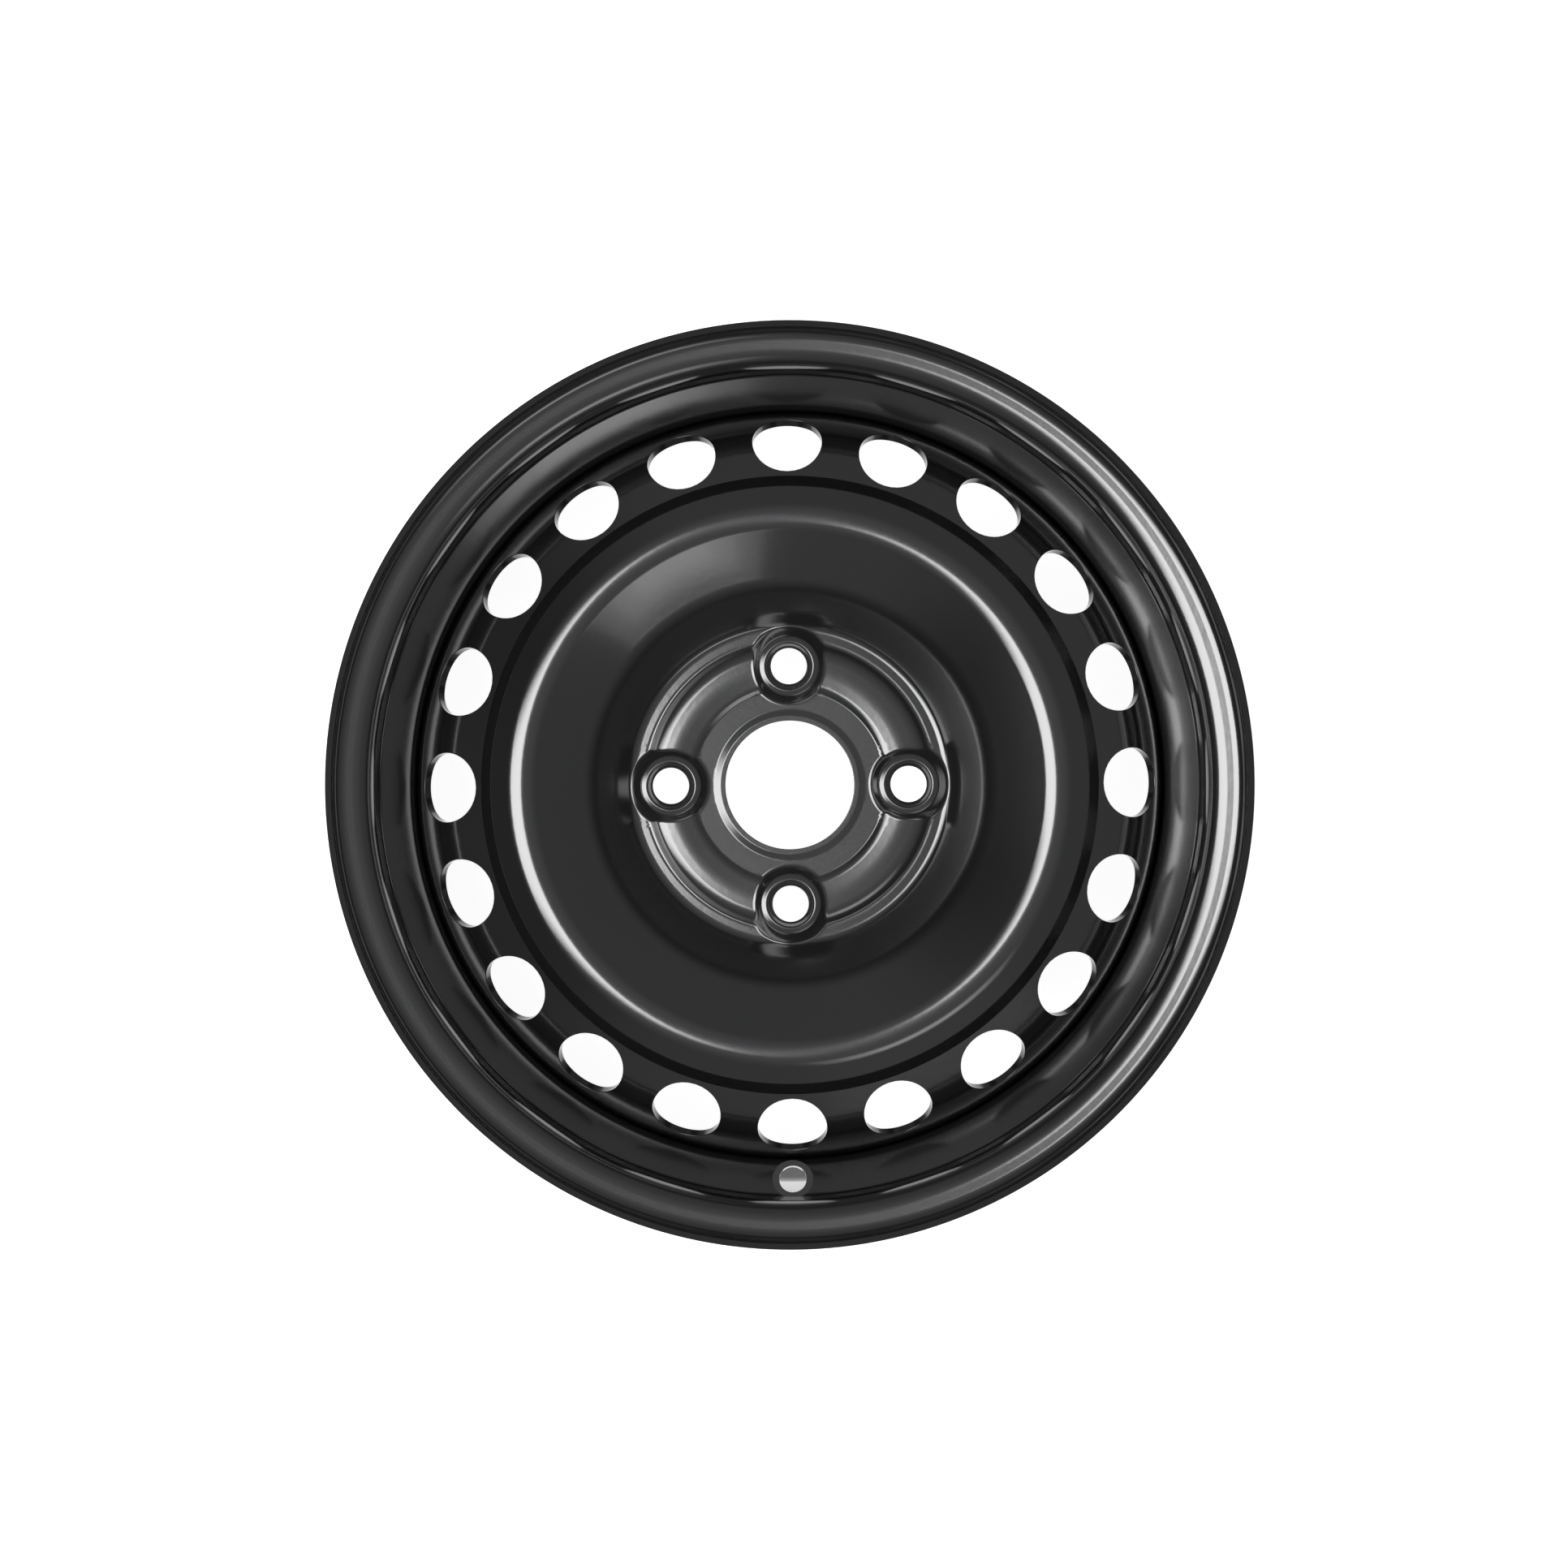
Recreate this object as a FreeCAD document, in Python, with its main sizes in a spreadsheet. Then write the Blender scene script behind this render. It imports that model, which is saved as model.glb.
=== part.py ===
"""Pressed-steel car wheel: a rolled rim band, a drawn disc and the welds that join them.

Millimetres. The spin axis is +Z, pointing outboard, and the hub mounting plane is z = 0.
Sections are drawn as across = distance from the spin axis and up = distance along it.
"""

import math
import os

import FreeCAD
import Part
import Sketcher

SIZES = [
    ("seat_radius", 177.4, "bead seat at the flange, 14 inch wheel"),
    ("rim_width", 139.7, "between the flanges, 5.5 inch"),
    ("wheel_offset", 39.0, "mounting plane outboard of the rim's middle"),
    ("rim_sheet", 2.7, "sheet of the rim band"),
    ("flange_height", 17.3, "flange above the bead seat"),
    ("flange_lip", 11.2, "flange's curl, along the axis"),
    ("flange_curl_bend", 9.5, "tyre side of the curl"),
    ("flange_toe_bend", 6.5, "tyre side of the toe"),
    ("seat_width", 19.8, "tapered bead seat"),
    ("seat_drop", 1.75, "fall of the seat over its width"),
    ("hump_height", 1.3, "safety hump above the end of the seat"),
    ("hump_width", 8.4, "whole hump, along the axis"),
    ("well_wall_from", 31.0, "front wall of the well, from the front flange"),
    ("well_wall_lean", 15.0, "front wall, degrees off the wheel's plane"),
    ("well_wall_bend", 5.5, "top of the front wall, tyre side"),
    ("well_depth", 17.3, "well below the bead seat"),
    ("well_floor_bend", 5.3, "foot of the front wall, tyre side"),
    ("well_width", 38.0, "floor of the well"),
    ("well_step_height", 7.9, "steep part of the rear wall"),
    ("well_step_run", 8.0, "steep part of the rear wall, along the axis"),
    ("valve_hole_radius", 5.75, "snap-in valve"),
    ("valve_above_well", 5.9, "middle of the valve hole above the well's floor"),
    ("valve_pad_radius", 8.8, "flat spot around the valve hole"),
    ("valve_pad_depth", 0.6, "flat spot below the wall's face"),
    ("disc_sheet", 3.5, "sheet of the disc"),
    ("bore_radius", 27.05, "hub bore, 54.1 across"),
    ("bore_lip_height", 0.8, "lip of the bore above the land"),
    ("bore_lip_radius", 32.1, "foot of the bore's lip"),
    ("land_rise", 1.6, "land around the bore above the mounting ring"),
    ("pad_inner_radius", 40.3, "foot of the raised pads, bore side"),
    ("pad_rise", 3.0, "raised pads above the mounting ring"),
    ("pad_inner_run", 2.4, "inner flank of the pads"),
    ("pad_outer_radius", 60.7, "foot of the raised pads, outer side"),
    ("pad_outer_run", 3.4, "outer flank of the pads"),
    ("pad_bend", 8.0, "shoulders of the pads"),
    ("pad_foot_bend", 2.0, "outer foot of the pads"),
    ("mounting_ring_width", 7.5, "flat ring, from the pads to where the bowl's wall would meet it"),
    ("bowl_foot_bend", 9.4, "fillet from the mounting ring to the wall"),
    ("bowl_wall_radius", 83.5, "top of the steep wall"),
    ("bowl_wall_height", 17.0, "steep wall above the mounting ring"),
    ("bowl_wall_bend", 9.0, "bend from the steep wall to the bowl"),
    ("crown_radius", 112.8, "ridge of the crown"),
    ("crown_height", 33.9, "where the crown's two slopes would meet, above the ring"),
    ("crown_bend", 12.0, "rounding of the crown"),
    ("step_radius", 125.5, "step outside the crown, upper edge"),
    ("step_top_drop", 7.9, "upper edge of the step below the crown's corner"),
    ("step_run", 4.3, "step, across"),
    ("step_drop", 5.1, "step, along the axis"),
    ("shoulder_slope", 30.0, "vent shoulder, degrees off the wheel's plane"),
    ("shoulder_bend", 36.0, "bend from the shoulder to the flange"),
    ("disc_flange_end", 34.0, "inboard edge of the flange, below the mounting plane"),
    ("bolt_circle", 100.0, "pitch circle diameter"),
    ("bolt_count", 4, "wheel bolts"),
    ("bolt_hole_radius", 7.6, "clear hole under the seat"),
    ("seat_edge_radius", 10.0, "outer edge of the cone seat"),
    ("seat_half_angle", 30.0, "cone seat, degrees off the bolt's axis"),
    ("boss_height", 6.7, "seat's edge above the mounting ring"),
    ("boss_crest_radius", 12.7, "outer edge of the boss's rounded top"),
    ("boss_crest_drop", 0.9, "fall of the top to that edge"),
    ("boss_flank_slope", 47.0, "flank of the boss, degrees off the wheel's plane"),
    ("boss_hollow_radius", 12.3, "flat top of the hollow behind the boss"),
    ("boss_hollow_height", 4.4, "that top above the mounting plane"),
    ("vent_count", 20, "vents"),
    ("vent_radius", 14.6, "round punch"),
    ("vent_lean", 47.0, "punch, degrees off the spin axis"),
    ("vent_circle_radius", 142.0, "where the punch's axis is"),
    ("vent_circle_height", 12.6, "at this height above the mounting plane"),
    ("weld_leg", 3.3, "fillet weld"),
    ("weld_count", 4, "weld runs"),
    ("weld_arc", 44.0, "degrees that each run covers"),
]

TURN = 360.0
SPIN_AXIS = FreeCAD.Vector(0, 0, 1)
# Stands a sketch up, so that its across is +X and its up is the spin axis.
UPRIGHT = FreeCAD.Rotation(FreeCAD.Vector(1, 0, 0), 90)
# A sketch line's two ends, as the sketcher numbers them, and the sketch's origin.
START, END = range(1, 3)
ORIGIN = (-1, START)
# Where a sketch point is before its dimensions place it.
UNPLACED = FreeCAD.Vector(1, 1, 0)

doc = FreeCAD.newDocument("wheel")
sheet = doc.addObject("Spreadsheet::Sheet", "Sizes")
for row, (alias, value, note) in enumerate(SIZES, start=1):
    sheet.set("A%d" % row, note)
    sheet.set("B%d" % row, str(value))
    sheet.setAlias("B%d" % row, alias)
doc.recompute()


def size(alias):
    return float(sheet.get(alias))


def bound(text):
    """An expression with each size's name pointed at the sheet."""
    words = text.split()
    names = {alias for alias, _, _ in SIZES}
    return " ".join("Sizes." + word if word in names else word for word in words)


# Lengths that several pieces share, written as expressions of the sheet.
FRONT_FLANGE = "rim_width / 2 - wheel_offset"
REAR_FLANGE = "0 - rim_width / 2 - wheel_offset"
WELL_RADIUS = "seat_radius - well_depth"
WELL_BORE = "seat_radius - well_depth - rim_sheet"
SEAT_END = "seat_radius - seat_drop"
WALL_TOP = SEAT_END + " - hump_height / 2"
VALVE_CIRCLE = WELL_RADIUS + " + valve_above_well"
WALL_RUN = "( well_depth - seat_drop - hump_height / 2 ) * tan( well_wall_lean )"
WELL_FRONT = FRONT_FLANGE + " - well_wall_from - " + WALL_RUN
STEP_FOOT = "crown_height - step_top_drop - step_drop + disc_sheet"


def dimension(sketch, kind, first, second, text):
    """A driving dimension between two sketch points, bound to the sheet."""
    number = sketch.addConstraint(Sketcher.Constraint(kind, *first, *second, UNPLACED.x))
    sketch.setExpression("Constraints[%d]" % number, bound(text))


def corner_points(sketch, corners):
    """Fixed construction points at the corners, as bound dimensions from the origin."""
    points = []
    for across, up, _ in corners:
        point = sketch.addGeometry(Part.Point(UNPLACED), True)
        dimension(sketch, "DistanceX", ORIGIN, (point, START), across)
        dimension(sketch, "DistanceY", ORIGIN, (point, START), up)
        points.append(point)
    doc.recompute()
    return points


def place_of(sketch, point):
    spot = sketch.Geometry[point]
    return FreeCAD.Vector(spot.X, spot.Y, 0)


def bent_line(sketch, corners, closed=False):
    """Straight runs between corner points, with a tangent arc where a corner has a bend radius."""
    points = corner_points(sketch, corners)
    places = [place_of(sketch, point) for point in points]
    count = len(points)
    runs = count if closed else count - 1
    starts = list(places)
    ends = list(places)
    arcs = {}
    for i, (_, _, bend) in enumerate(corners):
        if bend is None:
            continue
        back = (places[i - 1] - places[i]).normalize()
        ahead = (places[(i + 1) % count] - places[i]).normalize()
        half_turn = (math.pi - back.getAngle(ahead)) / 2
        reach = size(bend) * math.tan(half_turn)
        ends[i] = places[i] + back * reach
        starts[i] = places[i] + ahead * reach
        inset = size(bend) / math.cos(half_turn) - size(bend)
        middle = places[i] + (back + ahead).normalize() * inset
        arcs[i] = Part.Arc(ends[i], middle, starts[i])
    lines = []
    for i in range(runs):
        after = (i + 1) % count
        line = sketch.addGeometry(Part.LineSegment(starts[i], ends[after]), False)
        lines.append(line)
    for i in range(count):
        before = lines[i - 1] if closed or i > 0 else None
        after = lines[i] if i < runs else None
        if i not in arcs:
            if before is not None:
                sketch.addConstraint(Sketcher.Constraint("Coincident", before, END, points[i], START))
            if after is not None:
                sketch.addConstraint(Sketcher.Constraint("Coincident", after, START, points[i], START))
            continue
        arc = sketch.addGeometry(arcs[i], False)
        first_end = sketch.getPoint(arc, START)
        swapped = first_end.distanceToPoint(ends[i]) > first_end.distanceToPoint(starts[i])
        into, out = (END, START) if swapped else (START, END)
        sketch.addConstraint(Sketcher.Constraint("PointOnObject", points[i], START, before))
        sketch.addConstraint(Sketcher.Constraint("PointOnObject", points[i], START, after))
        sketch.addConstraint(Sketcher.Constraint("Tangent", before, END, arc, into))
        sketch.addConstraint(Sketcher.Constraint("Tangent", arc, out, after, START))
        number = sketch.addConstraint(Sketcher.Constraint("Radius", arc, size(corners[i][2])))
        sketch.setExpression("Constraints[%d]" % number, bound(corners[i][2]))
    doc.recompute()


def turned_sheet(name, corners, thickness):
    """A pressed sheet: one face of its section, thickened to one side and turned about the spin axis."""
    sketch = doc.addObject("Sketcher::SketchObject", name + "_line")
    sketch.Placement.Rotation = UPRIGHT
    bent_line(sketch, corners)
    section = doc.addObject("Part::Offset2D", name + "_section")
    section.Source = sketch
    section.setExpression("Value", bound(thickness))
    section.Fill = True
    section.Mode = "Skin"
    turned = doc.addObject("Part::Revolution", name)
    turned.Source = section
    turned.Axis = SPIN_AXIS
    turned.Angle = TURN
    turned.Solid = True
    doc.recompute()
    return turned


def new_body(label, base=None):
    body = doc.addObject("PartDesign::Body", label)
    body.Label = label
    if base is not None:
        body.BaseFeature = base
    doc.recompute()
    return body


def origin_plane(body, role):
    return [f for f in body.Origin.OriginFeatures if f.Role == role][0]


def plane_sketch(body, name, role):
    sketch = body.newObject("Sketcher::SketchObject", name)
    sketch.AttachmentSupport = (origin_plane(body, role), [""])
    sketch.MapMode = "FlatFace"
    doc.recompute()
    return sketch


def axis_line(sketch, corners):
    """A construction line through two bound points, which a profile is turned about."""
    points = corner_points(sketch, corners)
    ends = [place_of(sketch, point) for point in points]
    line = sketch.addGeometry(Part.LineSegment(*ends), True)
    for end, point in zip((START, END), points):
        sketch.addConstraint(Sketcher.Constraint("Coincident", line, end, point, START))
    doc.recompute()


def turned_feature(body, kind, sketch):
    """A full turn of a sketch's profile about its construction axis: material added or cut away."""
    feature = body.newObject("PartDesign::" + kind, sketch.Name + "_" + kind.lower())
    feature.Profile = sketch
    feature.ReferenceAxis = (sketch, ["Axis0"])
    feature.Angle = TURN
    doc.recompute()
    return feature


def ring_of(body, feature, count):
    """Copies of a feature around the spin axis."""
    ring = body.newObject("PartDesign::PolarPattern", feature.Name + "_ring")
    ring.Originals = [feature]
    ring.Axis = (origin_plane(body, "Z_Axis"), [""])
    ring.Angle = TURN
    ring.setExpression("Occurrences", bound(count))
    body.Tip = ring
    doc.recompute()
    return ring


def rim_band():
    """The rolled band, drawn on its tyre side from the front flange's edge to the rear one's."""
    flange_radius = "seat_radius + flange_height"
    hump_middle = "seat_width + hump_width / 2"
    step_run = " - well_width - well_step_run"
    corners = [
        (flange_radius, FRONT_FLANGE + " + flange_lip", None),
        (flange_radius, FRONT_FLANGE, "flange_curl_bend"),
        ("seat_radius", FRONT_FLANGE, "flange_toe_bend"),
        (SEAT_END, FRONT_FLANGE + " - seat_width", None),
        (SEAT_END + " + hump_height", FRONT_FLANGE + " - ( " + hump_middle + " )", None),
        (WALL_TOP, FRONT_FLANGE + " - well_wall_from", "well_wall_bend"),
        (WELL_RADIUS, WELL_FRONT, "well_floor_bend"),
        (WELL_RADIUS, WELL_FRONT + " - well_width", None),
        (WELL_RADIUS + " + well_step_height", WELL_FRONT + step_run, None),
        (SEAT_END, REAR_FLANGE + " + seat_width + hump_width", None),
        (SEAT_END + " + hump_height", REAR_FLANGE + " + " + hump_middle, None),
        (SEAT_END, REAR_FLANGE + " + seat_width", None),
        ("seat_radius", REAR_FLANGE, "flange_toe_bend"),
        (flange_radius, REAR_FLANGE, "flange_curl_bend"),
        (flange_radius, REAR_FLANGE + " - flange_lip", None),
    ]
    body = new_body("rim_band", turned_sheet("rim_rolled", corners, "0 - rim_sheet"))
    valve_cut(body)
    return body


def valve_cut(body):
    """The valve hole and the flat spot around it, square to the front wall of the well."""
    across = "0 - ( " + VALVE_CIRCLE + " )"
    face = FRONT_FLANGE + " - well_wall_from + rim_sheet / cos( well_wall_lean )"
    face += " - ( " + WALL_TOP + " - ( " + VALVE_CIRCLE + " ) ) * tan( well_wall_lean )"

    def spot(out, along):
        """A point by its distance out from the hole's axis and along it from the wall's face."""
        return (
            "%s - ( %s ) * cos( well_wall_lean ) + ( %s ) * sin( well_wall_lean )" % (across, out, along),
            "%s + ( %s ) * sin( well_wall_lean ) + ( %s ) * cos( well_wall_lean )" % (face, out, along),
            None,
        )

    sketch = plane_sketch(body, "valve_profile", "YZ_Plane")
    floor = "0 - valve_pad_depth"
    below = "0 - rim_sheet - rim_sheet - rim_sheet"
    above = "rim_sheet + rim_sheet"
    axis_line(sketch, [spot("0", below), spot("0", above)])
    outline = [("0", below), ("valve_hole_radius", below), ("valve_hole_radius", floor)]
    outline += [("valve_pad_radius", floor), ("valve_pad_radius", above), ("0", above)]
    bent_line(sketch, [spot(out, along) for out, along in outline], closed=True)
    turned_feature(body, "Groove", sketch)


def wheel_disc():
    """The drawn disc, made on its outboard face from the bore to the end of its flange."""
    land = "disc_sheet + land_rise"
    pad = "disc_sheet + pad_rise"
    crown = "disc_sheet + crown_height"
    step_end = "step_radius + step_run"
    lip_slope = "bore_lip_height / ( bore_lip_radius - bore_radius )"
    lip_start = land + " + bore_lip_height + disc_sheet * " + lip_slope
    shoulder_run = WELL_BORE + " - ( " + step_end + " )"
    shoulder_end = STEP_FOOT + " - ( " + shoulder_run + " ) * tan( shoulder_slope )"
    corners = [
        ("bore_radius - disc_sheet", lip_start, None),
        ("bore_lip_radius", land, None),
        ("pad_inner_radius", land, None),
        ("pad_inner_radius + pad_inner_run", pad, "pad_bend"),
        ("pad_outer_radius - pad_outer_run", pad, "pad_bend"),
        ("pad_outer_radius", "disc_sheet", "pad_foot_bend"),
        ("pad_outer_radius + mounting_ring_width", "disc_sheet", "bowl_foot_bend"),
        ("bowl_wall_radius", "disc_sheet + bowl_wall_height", "bowl_wall_bend"),
        ("crown_radius", crown, "crown_bend"),
        ("step_radius", crown + " - step_top_drop", None),
        (step_end, STEP_FOOT, None),
        (WELL_BORE, shoulder_end, "shoulder_bend"),
        (WELL_BORE, "0 - disc_flange_end", None),
    ]
    body = new_body("wheel_disc", turned_sheet("disc_drawn", corners, "0 - disc_sheet"))
    hub_bore(body)
    bolt_bosses(body)
    vents(body)
    return body


def hub_bore(body):
    """The bore that centres the wheel on its hub."""
    sketch = plane_sketch(body, "bore_profile", "XZ_Plane")
    below = "0 - disc_sheet"
    above = "disc_sheet + crown_height"
    axis_line(sketch, [("0", below, None), ("0", above, None)])
    outline = [("0", below), ("bore_radius", below), ("bore_radius", above), ("0", above)]
    bent_line(sketch, [(out, up, None) for out, up in outline], closed=True)
    turned_feature(body, "Groove", sketch)


def bolt_bosses(body):
    """Raised bosses with cone seats, pressed up from behind, so each is hollow on the hub side."""
    middle = "bolt_circle / 2"
    top = "disc_sheet + boss_height"
    crest = top + " - boss_crest_drop"
    root = "( disc_sheet + pad_rise ) / 2"
    foot = "( %s - ( %s ) ) / tan( boss_flank_slope )" % (crest, root)
    form = plane_sketch(body, "boss_profile", "XZ_Plane")
    axis_line(form, [(middle, root, None), (middle, top, None)])
    outline = [("0", root), ("boss_crest_radius + " + foot, root), ("boss_crest_radius", crest)]
    outline += [("seat_edge_radius", top), ("0", top)]
    bent_line(form, [(middle + " + " + out, up, None) for out, up in outline], closed=True)
    ring_of(body, turned_feature(body, "Revolution", form), "bolt_count")

    seat_foot = top + " - ( seat_edge_radius - bolt_hole_radius ) / tan( seat_half_angle )"
    above = "disc_sheet"
    flare = "seat_edge_radius + %s * tan( seat_half_angle )" % above
    below = "0 - disc_sheet"
    skirt = "boss_hollow_radius + ( boss_hollow_height + disc_sheet ) / tan( boss_flank_slope )"
    cut = plane_sketch(body, "bolt_hole_profile", "XZ_Plane")
    axis_line(cut, [(middle, below, None), (middle, top + " + " + above, None)])
    outline = [("0", below), (skirt, below), ("boss_hollow_radius", "boss_hollow_height")]
    outline += [("bolt_hole_radius", "boss_hollow_height"), ("bolt_hole_radius", seat_foot)]
    outline += [(flare, top + " + " + above), ("0", top + " + " + above)]
    bent_line(cut, [(middle + " + " + out, up, None) for out, up in outline], closed=True)
    ring_of(body, turned_feature(body, "Groove", cut), "bolt_count")


def vents(body):
    """Round holes, punched on a slant through the shoulder."""

    def spot(out, along):
        """A point by its distance out from the punch's axis and along it."""
        return (
            "vent_circle_radius + ( %s ) * cos( vent_lean ) + ( %s ) * sin( vent_lean )" % (out, along),
            "vent_circle_height - ( %s ) * sin( vent_lean ) + ( %s ) * cos( vent_lean )" % (out, along),
            None,
        )

    inner = "0 - vent_radius"
    outer = "vent_radius + vent_radius"
    sketch = plane_sketch(body, "vent_profile", "XZ_Plane")
    axis_line(sketch, [spot("0", inner), spot("0", outer)])
    outline = [("0", inner), ("vent_radius", inner), ("vent_radius", outer), ("0", outer)]
    bent_line(sketch, [spot(out, along) for out, along in outline], closed=True)
    ring_of(body, turned_feature(body, "Groove", sketch), "vent_count")


def weld_beads():
    """Fillet welds in the corner between the disc's inboard edge and the floor of the well."""
    sketch = doc.addObject("Sketcher::SketchObject", "weld_section")
    sketch.Placement.Rotation = UPRIGHT
    edge = "0 - disc_flange_end"
    corners = [
        (WELL_BORE, edge, None),
        (WELL_BORE + " - weld_leg", edge, None),
        (WELL_BORE, edge + " - weld_leg", None),
    ]
    bent_line(sketch, corners, closed=True)
    runs = []
    for i in range(int(size("weld_count"))):
        run = doc.addObject("Part::Revolution", "weld_run_%d" % i)
        run.Source = sketch
        run.Axis = SPIN_AXIS
        run.setExpression("Angle", bound("weld_arc"))
        run.Solid = True
        run.Placement.Rotation = FreeCAD.Rotation(SPIN_AXIS, TURN * i / size("weld_count"))
        runs.append(run)
    group = doc.addObject("Part::Compound", "weld_beads")
    group.Label = "weld_beads"
    group.Links = runs
    doc.recompute()
    return group


pieces = [rim_band(), wheel_disc(), weld_beads()]
doc.recompute()

faults = [o.Name for o in doc.Objects if {"Invalid", "Error"} & set(o.State)]
if faults:
    raise RuntimeError("failed: " + ", ".join(faults))
for piece in pieces:
    if piece.Shape.isNull() or not piece.Shape.isValid():
        raise RuntimeError("bad shape: " + piece.Label)
os.makedirs("parts", exist_ok=True)
for piece in pieces:
    piece.Shape.exportStep("parts/%s.step" % piece.Label)
    print(piece.Label, len(piece.Shape.Solids), "solids", round(piece.Shape.Volume), "cubic mm")
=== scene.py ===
# %% [markdown]
# # A black pressed-steel car wheel, lit in a plain studio
#
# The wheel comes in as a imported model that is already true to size. This lesson adds what a
# measured model lacks: paint with the right depth and grain, a floor, soft light and a camera.
# Lengths are in metres unless a cell says otherwise, and the wheel's spin axis is Z.

# %% The frame
import math

import bpy
import numpy as np
from mathutils import Matrix, Vector
from mathutils.geometry import delaunay_2d_cdt


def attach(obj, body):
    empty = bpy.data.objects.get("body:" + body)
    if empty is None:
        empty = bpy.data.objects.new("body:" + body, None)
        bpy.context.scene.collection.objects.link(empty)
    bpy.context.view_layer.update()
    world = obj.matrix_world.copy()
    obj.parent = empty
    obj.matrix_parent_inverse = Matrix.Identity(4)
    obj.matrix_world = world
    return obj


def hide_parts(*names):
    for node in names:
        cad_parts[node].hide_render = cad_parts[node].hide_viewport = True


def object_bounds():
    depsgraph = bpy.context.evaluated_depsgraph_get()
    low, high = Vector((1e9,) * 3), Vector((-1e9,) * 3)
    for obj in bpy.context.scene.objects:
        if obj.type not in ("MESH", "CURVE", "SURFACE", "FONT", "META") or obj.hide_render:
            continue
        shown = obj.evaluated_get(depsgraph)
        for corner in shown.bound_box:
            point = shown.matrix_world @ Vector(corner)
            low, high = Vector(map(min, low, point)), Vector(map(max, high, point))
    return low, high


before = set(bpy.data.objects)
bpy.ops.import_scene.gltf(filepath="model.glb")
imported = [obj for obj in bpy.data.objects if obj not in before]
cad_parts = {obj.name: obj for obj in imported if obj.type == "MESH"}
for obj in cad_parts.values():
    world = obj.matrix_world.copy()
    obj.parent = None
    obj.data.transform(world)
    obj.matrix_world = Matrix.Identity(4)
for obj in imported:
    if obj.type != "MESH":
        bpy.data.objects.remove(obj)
cad_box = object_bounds()
print("nodes", sorted(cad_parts), "box", cad_box)

# %% [markdown]
# ## Small helpers
#
# Colours are written as people pick them, as sRGB hex, and a shader wants linear light, so one
# function turns the first into the second. A second function adds a shader node, sets its
# inputs and links it, which keeps each material short enough to read.

# %% Helpers
MM = 0.001


def linear(hex_colour):
    """Turns an sRGB hex colour into the linear red, green, blue and alpha of a shader."""
    parts = [int(hex_colour[i:i + 2], 16) / 255 for i in (1, 3, 5)]
    return [p / 12.92 if p <= 0.04045 else ((p + 0.055) / 1.055) ** 2.4 for p in parts] + [1.0]


def add(tree, kind, settings=None, inputs=None, links=None):
    """Adds one node: settings are its own options, inputs are values, links are other sockets."""
    node = tree.nodes.new(kind)
    for name, value in (settings or {}).items():
        setattr(node, name, value)
    for name, value in (inputs or {}).items():
        node.inputs[name].default_value = value
    for name, socket in (links or {}).items():
        tree.links.new(socket, node.inputs[name])
    return node


def new_material(name):
    """An empty node material and its output node."""
    material = bpy.data.materials.new(name)
    material.use_nodes = True
    material.node_tree.nodes.clear()
    return material, add(material.node_tree, "ShaderNodeOutputMaterial")


print("helpers ready")

# %% [markdown]
# ## Semi-gloss black stoving paint
#
# Wheel paint is baked on in one thick coat. Its colour is nearly black, so almost all that the
# eye sees is reflection. Three things make it look like paint and not like plastic: a clear
# skin of resin over the pigment, orange peel a few millimetres across where the wet coat drew
# together, and a fine grain of dust and pigment under a millimetre. On the sheared tips of the
# flanges the wet coat draws back from the corners, so there it is thin and dull. The tips are
# found by their distance from the rim's middle plane.

# %% Paint
PAINT = "#0e0e0f"
PAINT_GREY = "#151516"
PAINT_IOR = 1.6
PAINT_ROUGH = (0.16, 0.24)
RESIN_IOR = 1.55
RESIN_ROUGH = 0.12
FULL_SHINE = 0.5
DULL_SHINE = 0.15
DULL_ROUGH = 0.6
PEEL_SIZE = 3.2 * MM
PEEL_DEPTH = 0.03 * MM
PEEL_STRENGTH = 0.4
GRAIN_SIZE = 0.7 * MM
GRAIN_DEPTH = 0.012 * MM
GRAIN_STRENGTH = 0.5
CLOUD_SIZE = 60 * MM
RIM_MIDDLE = -39.0 * MM
TIP_REACH = 80.5 * MM


def dull_tips(tree, place):
    """1 on the sheared tips of both flanges and 0 elsewhere."""
    up = add(tree, "ShaderNodeSeparateXYZ", links={"Vector": place}).outputs["Z"]
    moved = add(tree, "ShaderNodeMath", {"operation": "SUBTRACT"}, {1: RIM_MIDDLE}, {0: up})
    away = add(tree, "ShaderNodeMath", {"operation": "ABSOLUTE"},
               links={0: moved.outputs["Value"]})
    tip = add(tree, "ShaderNodeMath", {"operation": "GREATER_THAN"}, {1: TIP_REACH},
              {0: away.outputs["Value"]})
    return tip.outputs["Value"]


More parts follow.
